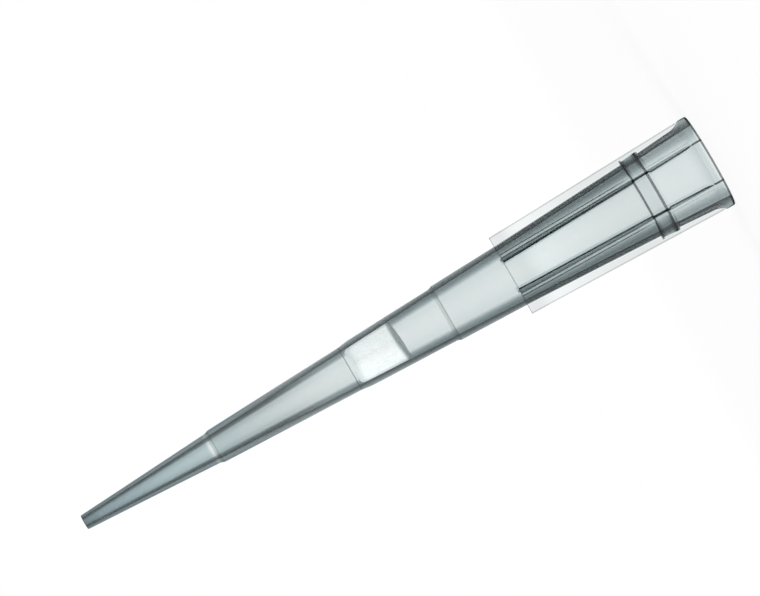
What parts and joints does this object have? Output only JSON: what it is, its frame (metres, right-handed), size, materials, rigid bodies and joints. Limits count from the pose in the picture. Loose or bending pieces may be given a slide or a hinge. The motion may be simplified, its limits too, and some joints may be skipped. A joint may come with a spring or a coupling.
{
  "type": "pipette tip",
  "caption": "Clear tapered filter pipette tip: a finned, collared socket that seals on a pipette, a stepped barrel with a porous plug, and a fine nozzle for small volumes of liquid.",
  "frame": {"origin": "centre of the mouth rim's flat face, which the tip stands on", "axes": "+Z along the axis from the mouth up to the nozzle, +X through the middle of one fin"},
  "size_m": [0.007, 0.007, 0.0505],
  "materials": {
    "clear_polypropylene": "clear natural polypropylene, injection moulded, polished at the socket and hazier towards the nozzle",
    "porous_polyethylene": "white sintered porous polyethylene, matte and finely granular"
  },
  "bodies": {
    "root": {"tip_body": "clear_polypropylene", "filter_plug": "porous_polyethylene"}
  },
  "joints": []
}
